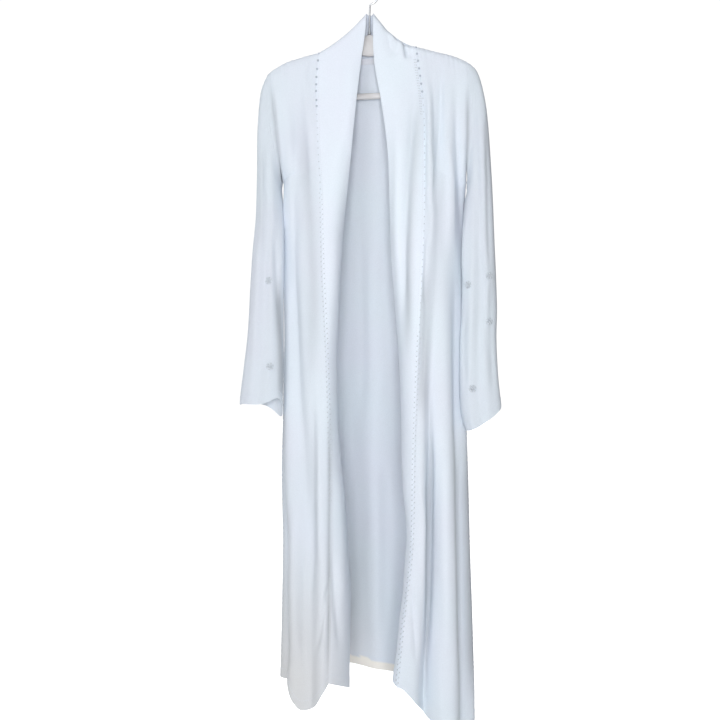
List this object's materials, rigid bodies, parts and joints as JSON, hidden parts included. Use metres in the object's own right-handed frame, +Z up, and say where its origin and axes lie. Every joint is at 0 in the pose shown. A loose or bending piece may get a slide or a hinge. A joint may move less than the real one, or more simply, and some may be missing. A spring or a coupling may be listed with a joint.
{
  "type": "kaftan jacket on clothes hanger",
  "caption": "Floor-length open-front kaftan jacket with a wide band collar and long straight sleeves, hanging on a clothes hanger.",
  "frame": {"origin": "inside top of the hanger's hook, where a rod or peg carries it", "axes": "+Z up, -Y the garment's front, +X to the viewer's right"},
  "size_m": [0.5335, 0.2039, 1.5178],
  "materials": {
    "crepe": "matt crepe, cool white",
    "tape": "matt twill tape, cool white",
    "beads": "small grey beads with a silver sheen",
    "hanger": "satin ivory moulding",
    "hook": "bright steel wire"
  },
  "bodies": {
    "root": {"back": "crepe", "front_left": "crepe", "front_right": "crepe", "band_left": "crepe", "band_right": "crepe", "band_neck": "crepe", "sleeve_left": "crepe", "sleeve_right": "crepe", "neck_tape": "tape", "flower_1": "beads", "flower_2": "beads", "flower_3": "beads", "flower_4": "beads", "flower_5": "beads", "flower_6": "beads", "hanger_frame": "hanger", "hanger_hook": "hook"}
  },
  "joints": []
}
